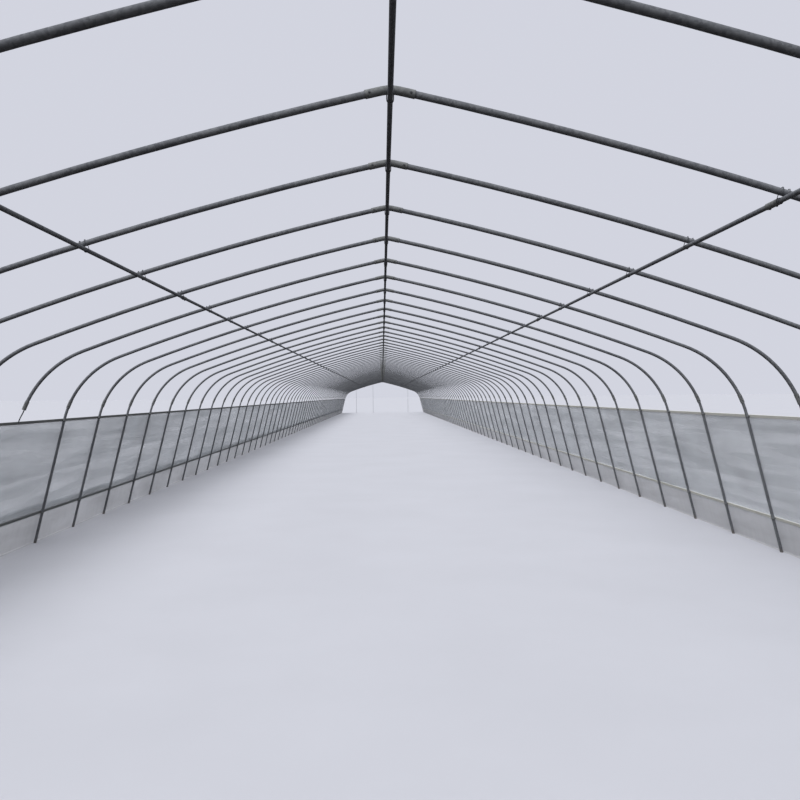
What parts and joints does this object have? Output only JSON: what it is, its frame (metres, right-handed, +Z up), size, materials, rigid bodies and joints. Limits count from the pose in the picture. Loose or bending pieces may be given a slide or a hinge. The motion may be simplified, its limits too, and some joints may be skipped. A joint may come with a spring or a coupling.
{
  "type": "polytunnel greenhouse frame, 1:2 scale model",
  "caption": "Long walk-in polytunnel frame of steel tube hoops on leaning legs, with purlins, open ends, and netted, skirted side walls.",
  "frame": {"origin": "on the ground, in the middle of the plan", "axes": "+X to the right across the tunnel, +Y along it from the near end to the far end, +Z up"},
  "size_m": [4.03, 39.098, 1.5051],
  "materials": {
    "galvanised_tube": "hot dip galvanised steel tube, weathered",
    "sleeve_steel": "galvanised pressed sleeve, slightly brighter",
    "channel_steel": "galvanised film channel",
    "insect_net": "white woven insect net, see-through",
    "skirt_film": "milky greenhouse film, dusty",
    "post_steel": "galvanised tube, dull"
  },
  "bodies": {
    "root": {"left_arches_1": "galvanised_tube", "left_legs_1": "galvanised_tube", "right_arches_1": "galvanised_tube", "right_legs_1": "galvanised_tube", "left_arches_2": "galvanised_tube", "left_legs_2": "galvanised_tube", "right_arches_2": "galvanised_tube", "right_legs_2": "galvanised_tube", "left_arches_3": "galvanised_tube", "left_legs_3": "galvanised_tube", "right_arches_3": "galvanised_tube", "right_legs_3": "galvanised_tube", "left_collars": "sleeve_steel", "right_collars": "sleeve_steel", "ridge_sleeves": "sleeve_steel", "ridge_purlin": "galvanised_tube", "ridge_purlin_couplers": "sleeve_steel", "left_purlin": "galvanised_tube", "left_purlin_couplers": "sleeve_steel", "right_purlin": "galvanised_tube", "right_purlin_couplers": "sleeve_steel", "left_upper_channel": "channel_steel", "left_lower_channel": "channel_steel", "left_net_1": "insect_net", "left_skirt_1": "skirt_film", "left_net_2": "insect_net", "left_skirt_2": "skirt_film", "left_net_3": "insect_net", "left_skirt_3": "skirt_film", "right_upper_channel": "channel_steel", "right_lower_channel": "channel_steel", "right_net_1": "insect_net", "right_skirt_1": "skirt_film", "right_net_2": "insect_net", "right_skirt_2": "skirt_film", "right_net_3": "insect_net", "right_skirt_3": "skirt_film", "near_outer_left_post": "post_steel", "near_doorway_left_post": "post_steel", "near_doorway_right_post": "post_steel", "far_outer_left_post": "post_steel", "far_doorway_left_post": "post_steel", "far_doorway_right_post": "post_steel"}
  },
  "joints": []
}
